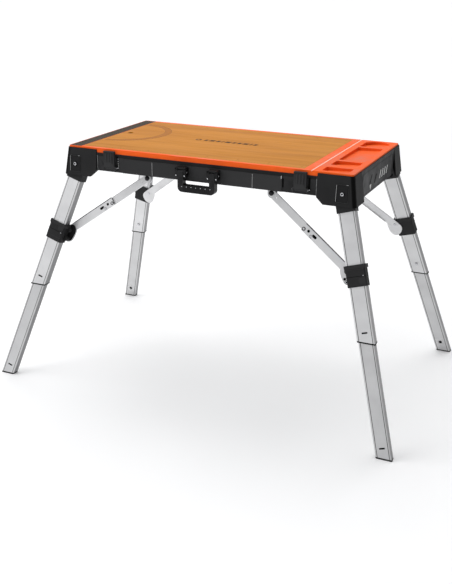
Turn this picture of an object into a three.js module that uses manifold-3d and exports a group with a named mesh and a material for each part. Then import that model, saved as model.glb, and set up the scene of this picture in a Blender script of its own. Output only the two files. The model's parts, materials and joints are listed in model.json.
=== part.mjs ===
// Portable folding work platform bench: a moulded top on four splayed, telescoping legs.
// Millimetres, +Z up, origin on the floor under the middle of the top, X along the top.

import * as THREE from 'three';
import { mergeVertices } from 'three/addons/utils/BufferGeometryUtils.js';
import Module from 'manifold-3d';

const wasm = await Module();
wasm.setup();

// ---- driving dimensions -------------------------------------------------------------------

const HEIGHT = 760;                                  // floor to work surface
const TOP = { length: 930, width: 493, thickness: 17 };
const HINGE = { x: 436, y: 224, z: 700 };            // leg hinge, one at each corner
const SPLAY = THREE.MathUtils.degToRad(16.34);       // leg leans outwards along X, in its fold plane
const TILT = THREE.MathUtils.degToRad(14.5);         // fold plane leans outwards along Y
const OUTER_TUBE = { width: 51.2, depth: 26.7, wall: 1.8, top: 14, end: 440, cutZ: 311 };
const INNER_TUBE = { width: 46.3, depth: 22.2, wall: 1.6, top: 357 };
const SLIDE_TRAVEL = 330;
const BUTTON = { along: 381, radius: 5, seat: 0.2, proud: 3.6, clearance: 0.4 };
const COLLAR = { top: 202.5, end: 264.5, width: 58, depth: 35, flangeWidth: 64, flangeHeight: 11 };
const BRACE_HINGE = { in: 228, down: 24 };           // upper brace pivot, from the leg hinge
const BRACE_EAR = { along: 217.9, out: 29, radius: 8.5 };  // lower brace pivot, in the leg's own frame
const BRACE = { width: 24, upper: 161 };             // upper link, pivot to knee
const GAP = 0.3;

const FLOOR_PLATE = { top: HEIGHT - TOP.thickness - GAP, thickness: 3.7 };
const SIDE_WALL = { inner: 245.6, outer: 248.6, bottom: 690, lip: 746 };
const PANEL = { x0: -268, x1: 256, top: 735, thickness: 2.2 };
const END_WALL = { inner: 465.4, outer: 468.4, bottom: 673 };
const CORNER = { x: 362, y: 178, bottom: 669, top: 755, lowX: 480.5, lowY: 258.5, topX: 468.4, topY: 249.6,
  radius: 11, chamfer: 22 };
const HANDLE = { x: -6.5, spacing: 104, pivotZ: 718, drop: 47.5, y: -262.4 };
const LATCH = { x: 313, width: 38, pivotZ: 703, top: 755, pivotY: 253 };

// ---- materials ----------------------------------------------------------------------------

function finish(color, roughness, metalness = 0) {
  return new THREE.MeshStandardMaterial({ color, roughness, metalness });
}

const blackPlastic = finish(0x2c2c2e, 0.55);
const orangePlastic = finish(0xf0571f, 0.4);
const boardWood = finish(0xcc8a3e, 0.6);
const gripGrey = finish(0x5a544e, 0.9);
const aluminium = finish(0xd2d2d2, 0.4, 0.85);
const steel = finish(0xb8b8ba, 0.35, 0.9);
const rubber = finish(0x1c1c1c, 0.85);

// ---- solids -------------------------------------------------------------------------------

function solid(geometry) {
  const bare = geometry.clone();
  bare.deleteAttribute('normal');
  bare.deleteAttribute('uv');
  const merged = mergeVertices(bare, 1e-4);
  const vertProperties = Float32Array.from(merged.attributes.position.array);
  const triVerts = Uint32Array.from(merged.index.array);
  return new wasm.Manifold(new wasm.Mesh({ numProp: 3, vertProperties, triVerts }));
}

function geometryOf(body) {
  const mesh = body.getMesh();
  const geometry = new THREE.BufferGeometry();
  geometry.setAttribute('position', new THREE.BufferAttribute(mesh.vertProperties, 3));
  geometry.setIndex(new THREE.BufferAttribute(mesh.triVerts, 1));
  geometry.computeVertexNormals();
  return geometry;
}

function joined(...bodies) {
  return bodies.reduce((sum, body) => sum.add(body));
}

function cut(body, ...tools) {
  return tools.reduce((rest, tool) => rest.subtract(tool), body);
}

function block([x0, x1], [y0, y1], [z0, z1]) {
  const geometry = new THREE.BoxGeometry(x1 - x0, y1 - y0, z1 - z0);
  geometry.translate((x0 + x1) / 2, (y0 + y1) / 2, (z0 + z1) / 2);
  return solid(geometry);
}

// A shape drawn in X and Z, extruded from y0 to y1.
function slab(shape, y0, y1, segments = 4) {
  const [low, high] = [Math.min(y0, y1), Math.max(y0, y1)];
  const options = { depth: high - low, bevelEnabled: false, curveSegments: segments };
  const geometry = new THREE.ExtrudeGeometry(shape, options);
  geometry.rotateX(Math.PI / 2);
  geometry.translate(0, high, 0);
  return solid(geometry);
}

// A shape drawn in X and Y, extruded from z0 up to z1.
function column(shape, z0, z1, segments = 3) {
  const options = { depth: z1 - z0, bevelEnabled: false, curveSegments: segments };
  const geometry = new THREE.ExtrudeGeometry(shape, options);
  geometry.translate(0, 0, z0);
  return solid(geometry);
}

// A round bar along Y.
function rod(radius, x, z, y0, y1, sides = 16) {
  const geometry = new THREE.CylinderGeometry(radius, radius, Math.abs(y1 - y0), sides);
  geometry.translate(x, (y0 + y1) / 2, z);
  return solid(geometry);
}

function outline(points) {
  return new THREE.Shape(points.map(([x, y]) => new THREE.Vector2(x, y)));
}

function roundedRect(width, height, radius, centreX = 0, centreY = 0) {
  const [w, h] = [width / 2 - radius, height / 2 - radius];
  const shape = new THREE.Shape();
  const corners = [[w, -h, -90], [w, h, 0], [-w, h, 90], [-w, -h, 180]];
  for (const [x, y, start] of corners) {
    const from = THREE.MathUtils.degToRad(start);
    shape.absarc(centreX + x, centreY + y, radius, from, from + Math.PI / 2, false);
  }
  shape.closePath();
  return shape;
}

// A bar with round ends along X.
function stadium(x0, x1, radius, z = 0) {
  const shape = new THREE.Shape();
  shape.absarc(x1, z, radius, -Math.PI / 2, Math.PI / 2, false);
  shape.absarc(x0, z, radius, Math.PI / 2, Math.PI * 1.5, false);
  shape.closePath();
  return shape;
}

function addPart(parent, name, body, material) {
  const mesh = new THREE.Mesh(geometryOf(body), material);
  mesh.name = name;
  parent.add(mesh);
}

// ---- the top ------------------------------------------------------------------------------

const BOARD = { x0: -420, x1: 316, halfWidth: 233, thickness: 12 };
const FINGER_HOLE = { x: -394, y: 16, radius: 9 };
const STRIP = { x0: -463, x1: -422, halfWidth: 243, thickness: 2.2 };
const GROOVE = { x: 342, width: 7, depth: 3 };
const POCKET = { x0: 367, x1: 446, radius: 4, depth: 10, riseX: 4, riseY: 3 };
const POCKET_ROWS = [[-230, -181], [-150, -93], [-76, 126]];
const END_POCKET = { y0: 140, y1: 232, rise: 22 };

function endPocketShape() {
  const { x0, x1 } = POCKET;
  const { y0, y1, rise } = END_POCKET;
  const shape = new THREE.Shape();
  shape.moveTo(x0, y0);
  shape.lineTo(x1, y0);
  shape.lineTo(x1, y1 - rise);
  shape.quadraticCurveTo((x0 + x1) / 2, y1 + rise, x0, y1 - rise);
  shape.closePath();
  return shape;
}

// The room of a pocket: its floor is deepest at the low x, high y corner.
function pocketRoom(shape, y0, y1) {
  const options = { depth: POCKET.depth + 1, bevelEnabled: false, curveSegments: 5 };
  const geometry = new THREE.ExtrudeGeometry(shape, options);
  const place = geometry.attributes.position;
  for (let i = 0; i < place.count; i += 1) {
    const alongX = (place.getX(i) - POCKET.x0) / (POCKET.x1 - POCKET.x0);
    const alongY = (y1 - place.getY(i)) / (y1 - y0);
    const depth = POCKET.depth - POCKET.riseX * alongX - POCKET.riseY * alongY;
    place.setZ(i, place.getZ(i) > 0 ? HEIGHT + 1 : HEIGHT - depth);
  }
  return solid(geometry);
}

function trayFrame() {
  const bottom = HEIGHT - TOP.thickness;
  const frame = column(roundedRect(TOP.length, TOP.width, 6), bottom, HEIGHT);
  const over = HEIGHT + 1;
  const boardSeat = block([BOARD.x0 - GAP, BOARD.x1 + GAP],
    [-BOARD.halfWidth - GAP, BOARD.halfWidth + GAP], [HEIGHT - BOARD.thickness - GAP, over]);
  const stripSeat = block([STRIP.x0 - GAP, STRIP.x1 + GAP],
    [-STRIP.halfWidth - GAP, STRIP.halfWidth + GAP], [HEIGHT - STRIP.thickness - GAP, over]);
  const grooveSide = GROOVE.width / 2;
  const groove = slab(outline([[GROOVE.x - grooveSide, over], [GROOVE.x - 1, HEIGHT - GROOVE.depth],
    [GROOVE.x + 1, HEIGHT - GROOVE.depth], [GROOVE.x + grooveSide, over]]), -TOP.width, TOP.width);
  const pockets = POCKET_ROWS.map(([y0, y1]) => pocketRoom(roundedRect(POCKET.x1 - POCKET.x0, y1 - y0,
    POCKET.radius, (POCKET.x0 + POCKET.x1) / 2, (y0 + y1) / 2), y0, y1));
  const endPocket = pocketRoom(endPocketShape(), END_POCKET.y0, END_POCKET.y1);
  return cut(frame, boardSeat, stripSeat, groove, ...pockets, endPocket);
}

function worktopBoard() {
  const middle = (BOARD.x0 + BOARD.x1) / 2;
  const shape = roundedRect(BOARD.x1 - BOARD.x0, BOARD.halfWidth * 2, 2, middle);
  const fingerHole = new THREE.Path();
  fingerHole.absarc(FINGER_HOLE.x, FINGER_HOLE.y, FINGER_HOLE.radius, 0, Math.PI * 2, true);
  shape.holes.push(fingerHole);
  return column(shape, HEIGHT - BOARD.thickness, HEIGHT, 6);
}

function gripStrip() {
  const { x0, x1, halfWidth, thickness } = STRIP;
  return block([x0, x1], [-halfWidth, halfWidth], [HEIGHT - thickness, HEIGHT]);
}

const LUG = { width: 4.5, bottom: 697, top: 709, reach: 258 };
const PIN = { radius: 2.2, clearance: 0.4 };

function latchLugs(x, side) {
  const lugs = [];
  for (const hand of [-1, 1]) {
    const inner = x + hand * (LATCH.width / 2 + GAP);
    const outer = inner + hand * LUG.width;
    const y = [SIDE_WALL.outer - 1, LUG.reach].map((value) => side * value);
    const lug = block([Math.min(inner, outer), Math.max(inner, outer)],
      [Math.min(...y), Math.max(...y)], [LUG.bottom, LUG.top]);
    const hole = barAlongX(PIN.radius + PIN.clearance, 3, 12);
    hole.translate(inner + hand * 1.4, side * LATCH.pivotY, LATCH.pivotZ);
    lugs.push(cut(lug, solid(hole)));
  }
  return lugs;
}

function baseShell() {
  const plateTop = FLOOR_PLATE.top;
  const plateBottom = plateTop - FLOOR_PLATE.thickness;
  const plate = block([-TOP.length / 2, TOP.length / 2], [-TOP.width / 2, TOP.width / 2],
    [plateBottom, plateTop]);
  const pieces = [plate];
  for (const side of [-1, 1]) {
    const wall = [SIDE_WALL.inner, SIDE_WALL.outer].map((y) => side * y).sort((a, b) => a - b);
    pieces.push(block([-CORNER.x + GAP, CORNER.x - GAP], wall, [SIDE_WALL.bottom, SIDE_WALL.lip]));
    const panel = [SIDE_WALL.outer - 1, SIDE_WALL.outer + PANEL.thickness].map((y) => side * y);
    panel.sort((a, b) => a - b);
    pieces.push(block([PANEL.x0, PANEL.x1], panel, [SIDE_WALL.bottom, PANEL.top]));
    for (const hand of [-1, 1]) {
      pieces.push(...latchLugs(hand * LATCH.x, side));
    }
    const end = [END_WALL.inner - 1, END_WALL.outer].map((x) => side * x).sort((a, b) => a - b);
    const halfEnd = CORNER.y - GAP;
    pieces.push(block(end, [-halfEnd, halfEnd], [END_WALL.bottom, CORNER.top]));
  }
  const shell = joined(...pieces);
  const topRoom = block([-TOP.length / 2 - GAP, TOP.length / 2 + GAP],
    [-TOP.width / 2 - GAP, TOP.width / 2 + GAP], [plateTop, HEIGHT]);
  return shell.subtract(topRoom);
}

// ---- corners ------------------------------------------------------------------------------

const CORNERS = [
  ['front_left', -1, -1], ['front_right', 1, -1], ['back_left', -1, 1], ['back_right', 1, 1],
];

// The fold plane's frame at a corner: x outwards, z up the plane, y along its hinge axis.
function cornerFrame(sideX, sideY) {
  const frame = new THREE.Group();
  const out = new THREE.Vector3(sideX, 0, 0);
  const up = new THREE.Vector3(0, -sideY * Math.sin(TILT), Math.cos(TILT));
  const along = new THREE.Vector3().crossVectors(up, out);
  frame.matrix.makeBasis(out, along, up);
  frame.matrix.decompose(frame.position, frame.quaternion, frame.scale);
  frame.position.set(sideX * HINGE.x, sideY * HINGE.y, HINGE.z);
  frame.updateMatrixWorld(true);
  return frame;
}

const KNUCKLE = { width: 55, depth: 33, end: 54 };
const HINGE_PIN = { radius: 5, clearance: 0.15 };
const WALL_GAP = 1;
const CHEEK = { radius: 17, thickness: 5 };

// A box whose lower end is wider than its upper end, given by its x and y spans at two heights.
function flared(xTop, yTop, xLow, yLow, zTop, zLow) {
  const geometry = new THREE.BoxGeometry(1, 1, 1);
  const place = geometry.attributes.position;
  for (let i = 0; i < place.count; i += 1) {
    const high = place.getZ(i) > 0;
    const x = (high ? xTop : xLow)[place.getX(i) > 0 ? 1 : 0];
    const y = (high ? yTop : yLow)[place.getY(i) > 0 ? 1 : 0];
    place.setXYZ(i, x, y, high ? zTop : zLow);
  }
  return solid(geometry);
}

// The leg's room inside a corner housing, drawn for the back right corner.
function cornerRoom() {
  const clear = KNUCKLE.depth / 2 + WALL_GAP;
  const roof = FLOOR_PLATE.top - FLOOR_PLATE.thickness - 4;
  const slope = Math.tan(TILT);
  const wallAt = (z) => HINGE.y + clear / Math.cos(TILT) + slope * (HINGE.z - z);
  const endClear = KNUCKLE.width / 2 / Math.cos(SPLAY) + WALL_GAP
    + KNUCKLE.depth / 2 * Math.tan(TILT) * Math.tan(SPLAY);
  const lean = Math.tan(SPLAY) / Math.cos(TILT);
  const endAt = (z) => HINGE.x + endClear + lean * Math.max(0, HINGE.z - z);
  const low = CORNER.bottom - 10;
  const inner = CORNER.x - 50;
  const lower = flared([inner, endAt(HINGE.z)], [CORNER.y - 5, wallAt(HINGE.z)],
    [inner, endAt(low)], [CORNER.y - 5, wallAt(low)], HINGE.z, low);
  const upper = flared([inner, endAt(roof)], [CORNER.y - 5, wallAt(roof)],
    [inner, endAt(HINGE.z)], [CORNER.y - 5, wallAt(HINGE.z)], roof, HINGE.z);
  return joined(lower, upper);
}

function inCorner(body, sideX, sideY) {
  const frame = cornerFrame(sideX, sideY);
  return body.transform(Array.from(frame.matrixWorld.elements));
}

// The flat plate inside a housing that carries the inner end of the hinge pin.
function hingeCheek(sideX, sideY) {
  const inward = -sideX * sideY;
  const start = KNUCKLE.depth / 2 + WALL_GAP;
  const rise = FLOOR_PLATE.top - FLOOR_PLATE.thickness - HINGE.z;
  const reach = rise / Math.cos(TILT) + (start + CHEEK.thickness) * Math.tan(TILT);
  const shape = new THREE.Shape();
  shape.absarc(0, 0, CHEEK.radius, Math.PI, Math.PI * 2, false);
  shape.lineTo(CHEEK.radius, reach);
  shape.lineTo(-CHEEK.radius, reach);
  shape.closePath();
  const plate = slab(shape, inward * start, inward * (start + CHEEK.thickness), 6);
  return inCorner(plate, sideX, sideY);
}

function pinBore(sideX, sideY) {
  const reach = KNUCKLE.depth;
  const bore = rod(HINGE_PIN.radius + HINGE_PIN.clearance, 0, 0, -reach, reach);
  return inCorner(bore, sideX, sideY);
}

function mirrored(body, sideX, sideY) {
  return body.scale([sideX, sideY, 1]);
}

// The housing's outer form: a block with a rounded outer corner that widens downwards.
function housingBlock() {
  const { x, y, lowX, lowY, topX, topY, radius, bottom, top } = CORNER;
  const shape = new THREE.Shape();
  shape.moveTo(x, y);
  shape.lineTo(lowX, y);
  shape.lineTo(lowX, lowY - radius);
  shape.absarc(lowX - radius, lowY - radius, radius, 0, Math.PI / 2, false);
  shape.lineTo(x, lowY);
  shape.closePath();
  const options = { depth: top - bottom, bevelEnabled: false, curveSegments: 5 };
  const geometry = new THREE.ExtrudeGeometry(shape, options);
  const place = geometry.attributes.position;
  const [shareX, shareY] = [(topX - x) / (lowX - x), (topY - y) / (lowY - y)];
  for (let i = 0; i < place.count; i += 1) {
    if (place.getZ(i) > 0) {
      place.setX(i, x + (place.getX(i) - x) * shareX);
      place.setY(i, y + (place.getY(i) - y) * shareY);
    }
  }
  geometry.translate(0, 0, bottom);
  return solid(geometry);
}

function cornerHousing(sideX, sideY) {
  const roofTop = FLOOR_PLATE.top - FLOOR_PLATE.thickness - GAP;
  const footChamfer = slab(outline([[CORNER.x - 1, CORNER.bottom - 1],
    [CORNER.x + CORNER.chamfer, CORNER.bottom - 1], [CORNER.x - 1, SIDE_WALL.bottom - 1]]),
  0, TOP.width);
  const tableRoom = block([0, TOP.length / 2 + GAP], [0, TOP.width / 2 + GAP], [roofTop, HEIGHT]);
  const body = cut(housingBlock(), footChamfer, tableRoom, cornerRoom());
  const cheek = mirrored(hingeCheek(sideX, sideY), sideX, sideY);
  const belowPlate = cheek.subtract(block([0, TOP.length], [0, TOP.width], [roofTop, HEIGHT]));
  const bore = mirrored(pinBore(sideX, sideY), sideX, sideY);
  return mirrored(cut(joined(body, belowPlate), bore), sideX, sideY);
}

const BRACKET = { start: 31.2, thickness: 3, width: 30, flange: 26 };
const UPPER_PIN = { radius: 4, headRadius: 7.5, headStart: 22.9 };
const LINK = { plateStart: 19, plateEnd: 21.5, barStart: 24.5, barEnd: 30.5 };

// The steel plate under the top that carries the upper brace link on its riveted pin.
function braceBracket(inward) {
  const { start, thickness, width } = BRACKET;
  const [x, z] = [-BRACE_HINGE.in, -BRACE_HINGE.down];
  const underside = FLOOR_PLATE.top - FLOOR_PLATE.thickness - GAP - HINGE.z;
  const offset = start + thickness;
  const topZ = (underside + offset * Math.sin(TILT)) / Math.cos(TILT);
  const shape = new THREE.Shape();
  shape.absarc(x, z, width / 2, Math.PI, Math.PI * 2, false);
  shape.lineTo(x + width / 2, topZ - 1);
  shape.lineTo(x - width / 2, topZ - 1);
  shape.closePath();
  const plate = slab(shape, inward * start, inward * offset, 5);
  const flange = slab(outline([[x - width / 2, topZ - 4], [x + width / 2, topZ - 4],
    [x + width / 2, topZ - 1], [x - width / 2, topZ - 1]]), inward * start,
  inward * (start + BRACKET.flange));
  const headStart = inward * UPPER_PIN.headStart;
  const pin = rod(UPPER_PIN.radius, x, z, headStart, inward * (start + 1));
  const head = rod(UPPER_PIN.headRadius, x, z, headStart, inward * (LINK.barStart - GAP));
  return joined(plate, flange, pin, head);
}

// ---- legs, drawn with the hinge at the origin and the leg hanging down Z --------------------

const LEG_LENGTH = HINGE.z / (Math.cos(SPLAY) * Math.cos(TILT));
const FLUTE = { inset: 6, width: 1.4, depth: 0.6 };

// A flat tube's outer section with two shallow flutes on each wide face.
function flutedRect(width, depth, radius) {
  const points = [];
  const half = [width / 2, depth / 2];
  const flutes = [-1, 1].map((hand) => hand * (half[0] - FLUTE.inset));
  for (const side of [-1, 1]) {
    for (const centre of side < 0 ? flutes : [...flutes].reverse()) {
      const step = -side * FLUTE.width / 2;
      points.push([centre - step, side * half[1]], [centre, side * (half[1] - FLUTE.depth)],
        [centre + step, side * half[1]]);
    }
    for (let turn = 0; turn <= 3; turn += 1) {
      points.push(cornerPoint(half, radius, side, -side, turn / 3, false));
    }
    for (let turn = 0; turn <= 3; turn += 1) {
      points.push(cornerPoint(half, radius, -side, -side, turn / 3, true));
    }
  }
  return outline(points);
}

// A point on a rounded corner: sideY and sideX say which corner, share runs 0 to 1 along it.
function cornerPoint(half, radius, sideY, sideX, share, fromEnd) {
  const turn = (fromEnd ? share : 1 - share) * Math.PI / 2;
  return [sideX * (half[0] - radius + radius * Math.cos(turn)),
    sideY * (half[1] - radius + radius * Math.sin(turn))];
}

function legTube(size, top, end) {
  const skin = column(flutedRect(size.width, size.depth, 3), -end, -top);
  const bore = roundedRect(size.width - 2 * size.wall, size.depth - 2 * size.wall, 1.4);
  return skin.subtract(column(bore, -end - 1, -top + 1, 2));
}

const DASH = { length: 16, height: 4, along: 395, footRise: 30 };
const WIDE = 900;

function dashShape(along) {
  const end = (DASH.length - DASH.height) / 2;
  return stadium(-end, end, DASH.height / 2, -along);
}

// Everything between two levels, in a leg's frame: the tubes are cut level with the floor.
function levelLayer(z0, z1, sideX, sideY) {
  return toLegFrame(block([-WIDE, WIDE], [-WIDE, WIDE], [z0, z1]), sideX, sideY);
}

function outerTube(inward, sideX, sideY) {
  const tube = legTube(OUTER_TUBE, OUTER_TUBE.top, OUTER_TUBE.end);
  const face = OUTER_TUBE.depth / 2;
  const button = rod(BUTTON.radius + BUTTON.clearance, 0, -BUTTON.along, 0, inward * (face + 1));
  const dash = slab(dashShape(DASH.along), 0, -inward * (face + 1));
  return cut(tube, button, dash, levelLayer(-HEIGHT, OUTER_TUBE.cutZ, sideX, sideY));
}

function toLegFrame(body, sideX, sideY) {
  const frame = cornerFrame(sideX, sideY);
  const leg = new THREE.Group();
  leg.rotation.y = -SPLAY;
  frame.add(leg);
  frame.updateMatrixWorld(true);
  return body.transform(Array.from(leg.matrixWorld.clone().invert().elements));
}

const FOOT_HEIGHT = 4;

function innerTube(inward, sideX, sideY) {
  const tube = legTube(INNER_TUBE, INNER_TUBE.top, LEG_LENGTH + 20);
  const face = INNER_TUBE.depth / 2;
  const holes = [BUTTON.along, BUTTON.along + SLIDE_TRAVEL].map((along) => rod(
    BUTTON.radius + 3 * BUTTON.clearance, 0, -along, 0, inward * (face + 1), 12));
  const dash = slab(dashShape(LEG_LENGTH - DASH.footRise), 0, -inward * (face + 1));
  return cut(tube, ...holes, dash, levelLayer(-HEIGHT, FOOT_HEIGHT + GAP, sideX, sideY));
}

function footPad(sideX, sideY) {
  const shape = roundedRect(INNER_TUBE.width, INNER_TUBE.depth, 3);
  const prism = column(shape, -LEG_LENGTH - 20, -LEG_LENGTH + 20, 3);
  return prism.intersect(levelLayer(0, FOOT_HEIGHT, sideX, sideY));
}

function legKnuckle() {
  const { width, depth, end } = KNUCKLE;
  const shape = new THREE.Shape();
  shape.absarc(0, 0, width / 2, 0, Math.PI, false);
  shape.lineTo(-width / 2, -end);
  shape.lineTo(width / 2, -end);
  shape.closePath();
  const socket = column(roundedRect(OUTER_TUBE.width + 2 * GAP, OUTER_TUBE.depth + 2 * GAP, 3),
    -end - 1, -OUTER_TUBE.top + GAP, 2);
  const bore = rod(HINGE_PIN.radius + HINGE_PIN.clearance, 0, 0, -depth, depth);
  return cut(slab(shape, -depth / 2, depth / 2, 10), socket, bore);
}

const LATCH_LUG = { along: 248, out: 34, radius: 6, start: 1, web: 5 };

// The small lug low on the collar, next to the end of the lower link.
function collarLug(inward) {
  const { along, out, radius, start, web } = LATCH_LUG;
  const y = [inward * start, inward * COLLAR.depth / 2];
  const inner = COLLAR.width / 2 - 1;
  const webShape = outline([[-inner, radius + web - along], [-inner, -radius - web - along],
    [-out, -radius - along], [-out, radius - along]]);
  return joined(rod(radius, -out, -along, ...y), slab(webShape, ...y));
}

function legCollar(inward) {
  const { top, end, width, depth, flangeWidth, flangeHeight } = COLLAR;
  const band = column(roundedRect(width, depth, 6), -end, -top);
  const flange = column(roundedRect(flangeWidth, depth + 1.5, 6), -top - flangeHeight, -top);
  const ear = rod(BRACE_EAR.radius, -BRACE_EAR.out, -BRACE_EAR.along, inward * 5, inward * depth / 2);
  const opening = column(roundedRect(OUTER_TUBE.width + 2 * GAP, OUTER_TUBE.depth + 2 * GAP, 3),
    -end - 1, -top + 1, 2);
  const pinHole = rod(BRACE_PIN.radius + 0.15, -BRACE_EAR.out, -BRACE_EAR.along,
    inward * (BRACE_PIN.root - GAP), inward * (depth / 2 + 1), 16);
  return cut(joined(band, flange, ear, collarLug(inward)), opening, pinHole);
}

const BRACE_PIN = { radius: 3.5, headRadius: 5.5, root: OUTER_TUBE.depth / 2 + 2.7 };

function bracePin(inward) {
  const [x, z] = [-BRACE_EAR.out, -BRACE_EAR.along];
  const headEnd = inward * (UPPER_PIN.headStart - GAP);
  const shaft = rod(BRACE_PIN.radius, x, z, inward * BRACE_PIN.root, headEnd, 16);
  const head = rod(BRACE_PIN.headRadius, x, z, inward * (LINK.plateEnd + GAP), headEnd, 16);
  return joined(shaft, head);
}

function springButton(inward) {
  const seat = INNER_TUBE.depth / 2 + BUTTON.seat;
  const proud = OUTER_TUBE.depth / 2 + BUTTON.proud;
  return rod(BUTTON.radius, 0, -BUTTON.along, inward * seat, inward * proud);
}

function hingePin() {
  const reach = KNUCKLE.depth / 2 + WALL_GAP + CHEEK.thickness + 1;
  return rod(HINGE_PIN.radius, 0, 0, -reach, reach);
}

// ---- braces, drawn along X from the upper pivot to the lower one ---------------------------

const KNEE = { radius: 3, holeGap: 20, holeRadius: 2.2 };
const CHANNEL = { overlap: 21, flange: 2, flangeEnd: 30 };
const END_PLATE = [[-24, 13], [-26, -13], [0, -30], [18, -35], [32, -27], [35, -8], [24, 11], [8, 13]];

function linkHole(x, radius, inward) {
  return rod(radius, x, 0, inward * (LINK.plateStart - 3), inward * (LINK.barEnd + 3), 12);
}

function upperLink(inward) {
  const shape = stadium(0, BRACE.upper, BRACE.width / 2 - 0.5);
  const bar = slab(shape, inward * LINK.barStart, inward * LINK.barEnd, 6);
  return cut(bar, linkHole(0, UPPER_PIN.radius + GAP, inward),
    linkHole(BRACE.upper, KNEE.radius, inward), linkHole(KNEE.holeGap, KNEE.holeRadius, inward));
}

// A closed outline whose corners are rounded off between the middles of its sides.
function softOutline(points) {
  const shape = new THREE.Shape();
  points.forEach(([x, y], i) => {
    const [nextX, nextY] = points[(i + 1) % points.length];
    const middle = [(x + nextX) / 2, (y + nextY) / 2];
    if (i === 0) {
      shape.moveTo(...middle);
    } else {
      shape.quadraticCurveTo(x, y, ...middle);
    }
  });
  const [[x, y], [nextX, nextY]] = points;
  shape.quadraticCurveTo(x, y, (x + nextX) / 2, (y + nextY) / 2);
  return shape;
}

// A shallow channel that laps over the knee, outboard of the upper link, and ends in a wide plate.
function lowerLink(inward, length) {
  const half = BRACE.width / 2 + 1;
  const start = BRACE.upper - CHANNEL.overlap;
  const [y0, y1] = [inward * LINK.plateStart, inward * LINK.plateEnd];
  const arm = slab(outline([[start, -half], [length, -half], [length, half], [start, half]]), y0, y1);
  const endPlate = slab(softOutline(END_PLATE.map(([x, z]) => [length + x, z])), y0, y1, 3);
  const flanges = [-1, 1].map((hand) => {
    const edge = [hand * half, hand * (half - CHANNEL.flange)].sort((p, q) => p - q);
    const depth = [inward * LINK.plateStart, inward * (LINK.barStart - GAP)].sort((p, q) => p - q);
    return block([start, length - CHANNEL.flangeEnd], depth, edge);
  });
  return cut(joined(arm, endPlate, ...flanges), linkHole(length, BRACE_PIN.radius + 0.25, inward),
    linkHole(BRACE.upper, KNEE.radius, inward));
}

// ---- handle and latches --------------------------------------------------------------------

const GRIP = { thickness: 21, depth: 20, arm: 18, radius: 14, stubRadius: 3, stubReach: 5 };

// A hanging U, open or closed at the top, inset from the handle's outer edge.
function bowShape(inset, top, low, radius) {
  const half = (HANDLE.spacing + GRIP.arm) / 2 - inset;
  const shape = new THREE.Shape();
  shape.moveTo(-half, top);
  shape.lineTo(-half, low + radius);
  shape.absarc(-half + radius, low + radius, radius, Math.PI, Math.PI * 1.5, false);
  shape.absarc(half - radius, low + radius, radius, -Math.PI / 2, 0, false);
  shape.lineTo(half, top);
  shape.closePath();
  return shape;
}

function barAlongX(radius, length, sides) {
  const geometry = new THREE.CylinderGeometry(radius, radius, length, sides);
  geometry.rotateZ(Math.PI / 2);
  return geometry;
}

function carryHandle() {
  const low = -HANDLE.drop - GRIP.thickness / 2;
  const bow = slab(bowShape(0, 2, low, GRIP.radius), -GRIP.depth / 2, GRIP.depth / 2);
  const window = slab(bowShape(GRIP.arm, 20, low + GRIP.thickness, 5), -GRIP.depth, GRIP.depth);
  const pieces = [bow.subtract(window)];
  for (const hand of [-1, 1]) {
    const eye = barAlongX(GRIP.depth / 2, GRIP.arm, 16);
    const stub = barAlongX(GRIP.stubRadius, GRIP.arm + 2 * GRIP.stubReach, 8);
    for (const bar of [eye, stub]) {
      bar.translate(hand * HANDLE.spacing / 2, 0, 0);
      pieces.push(solid(bar));
    }
  }
  return joined(...pieces).translate([HANDLE.x, HANDLE.y, HANDLE.pivotZ]);
}

const HANDLE_BRACKET = { width: 36, back: -251.1, front: -271, bottom: 703, top: 734 };

function handleBracket(hand) {
  const x = HANDLE.x + hand * HANDLE.spacing / 2;
  const { width, back, front, bottom, top } = HANDLE_BRACKET;
  const profile = roundedRect(width, top - bottom, 4, x, (top + bottom) / 2);
  const body = slab(profile, front, back, 3);
  const swing = GRIP.depth / 2 + 0.8;
  const slotHalf = GRIP.arm / 2 + 0.6;
  const armRoom = block([x - slotHalf, x + slotHalf], [front - 1, HANDLE.y + swing],
    [bottom - 1, HANDLE.pivotZ + swing]);
  const hole = barAlongX(GRIP.stubRadius + 0.4, GRIP.arm + 2 * GRIP.stubReach + 2, 12);
  hole.translate(x, HANDLE.y, HANDLE.pivotZ);
  return cut(body, armRoom, solid(hole));
}

const LATCH_PLATE = { barrel: 4, front: 5, back: -3.6, round: 3 };
const LATCH_RIB = { spacing: 9, width: 4, start: 18, end: 5, proud: 1.4 };

function latch() {
  const half = LATCH.width / 2;
  const rise = LATCH.top - LATCH.pivotZ;
  const { barrel, front, back, round } = LATCH_PLATE;
  const profile = new THREE.Shape();
  profile.absarc(0, 0, barrel, Math.PI / 2, Math.PI * 2, false);
  profile.lineTo(front, round);
  profile.lineTo(front, rise - round);
  profile.quadraticCurveTo(front, rise, front - round, rise);
  profile.lineTo(back, rise);
  profile.lineTo(back, barrel);
  profile.closePath();
  const options = { depth: LATCH.width, bevelEnabled: false, curveSegments: 5 };
  const plate = new THREE.ExtrudeGeometry(profile, options);
  plate.rotateX(Math.PI / 2);
  plate.rotateZ(-Math.PI / 2);
  plate.translate(half, 0, 0);
  const stub = barAlongX(PIN.radius, LATCH.width + 5, 12);
  const ribs = [-1, 0, 1].map((place) => {
    const [x, side] = [place * LATCH_RIB.spacing, LATCH_RIB.width / 2];
    return block([x - side, x + side], [-front - LATCH_RIB.proud, -front + 0.5],
      [LATCH_RIB.start, rise - LATCH_RIB.end]);
  });
  return joined(solid(plate), solid(stub), ...ribs);
}

// ---- the bench -----------------------------------------------------------------------------

const bench = new THREE.Group();

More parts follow.
